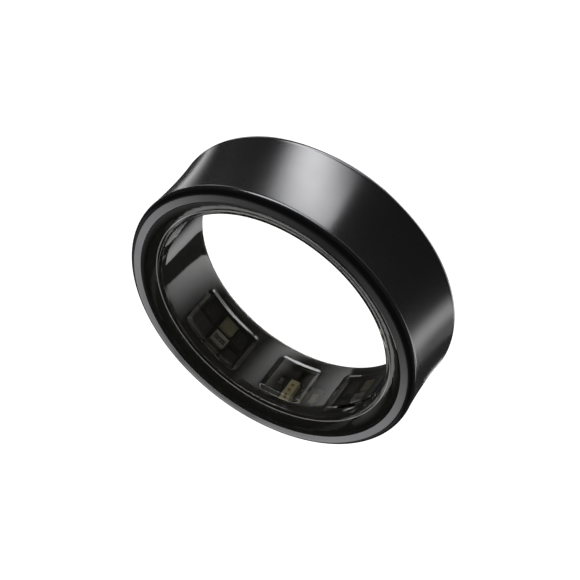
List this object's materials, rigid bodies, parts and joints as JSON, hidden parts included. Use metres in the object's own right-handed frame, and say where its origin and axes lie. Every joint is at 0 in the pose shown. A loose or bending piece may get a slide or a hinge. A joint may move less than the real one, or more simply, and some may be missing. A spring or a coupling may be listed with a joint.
{
  "type": "smart ring",
  "caption": "Smart ring: dished black metal band round a clear smoked liner with three raised sensor windows, and a board, curved battery and coil sealed between.",
  "frame": {"origin": "on the ring's axis, in the plane of the lower rim that the ring lies on", "axes": "+Z along the ring's axis, from the lower rim to the upper rim; +Y through the middle sensor window; +X towards the side window with the optical signal chip"},
  "size_m": [0.024, 0.024, 0.007],
  "materials": {
    "band_metal": "black coated titanium, satin to semi-gloss",
    "liner_resin": "clear smoked resin, polished",
    "black_film": "matte black film",
    "seal_glue": "cured glue",
    "board_laminate": "dark solder mask",
    "steel_plate": "thin rolled plate",
    "foam_tape": "thin adhesive tape",
    "chip_black": "moulded chip body",
    "chip_violet": "coated bare chip",
    "detector": "dark clear-topped detector",
    "lamp_base": "white ceramic",
    "lamp_frame": "pale reflector",
    "lamp_die": "light emitting die",
    "capacitor_ceramic": "tan ceramic with tinned ends",
    "inductor_ferrite": "pressed ferrite with tinned ends",
    "resistor_body": "dark film on ceramic with tinned ends",
    "crystal_can": "plated metal can",
    "connector_cream": "moulded cream plastic",
    "contact_gold": "gold plated",
    "thermo_black": "black epoxy",
    "antenna_plastic": "moulded carrier",
    "antenna_copper": "plated copper line",
    "battery_foil": "laminated aluminium pouch",
    "nickel_tab": "nickel strip",
    "guard_laminate": "green solder mask",
    "ferrite_grey": "flexible ferrite sheet",
    "flex_amber": "amber polyimide film",
    "coil_copper": "enamelled copper wire"
  },
  "bodies": {
    "root": {"outer_band": "band_metal", "inner_liner": "liner_resin", "mask_film": "black_film", "rim_seals": "seal_glue", "flex_board": "board_laminate", "board_stiffeners": "steel_plate", "board_tape": "foam_tape", "optical_front_end": "chip_violet", "photodiodes": "detector", "led_bases": "lamp_base", "led_frames": "lamp_frame", "led_dies": "lamp_die", "light_barriers": "black_film", "optics_capacitors": "capacitor_ceramic", "motion_sensor": "chip_black", "memory_chip": "chip_black", "press_connector": "connector_cream", "connector_contacts": "contact_gold", "temperature_sensor": "thermo_black", "main_chip": "chip_black", "power_chip": "chip_black", "crystals": "crystal_can", "inductors": "inductor_ferrite", "capacitors": "capacitor_ceramic", "resistors": "resistor_body", "antenna_carrier": "antenna_plastic", "antenna_trace": "antenna_copper", "battery_cell": "battery_foil", "battery_tabs": "nickel_tab", "protection_board": "guard_laminate", "protection_chip": "chip_black", "battery_tape": "foam_tape", "ferrite_sheet": "ferrite_grey", "coil_tail": "flex_amber", "charging_coil": "coil_copper"}
  },
  "joints": []
}
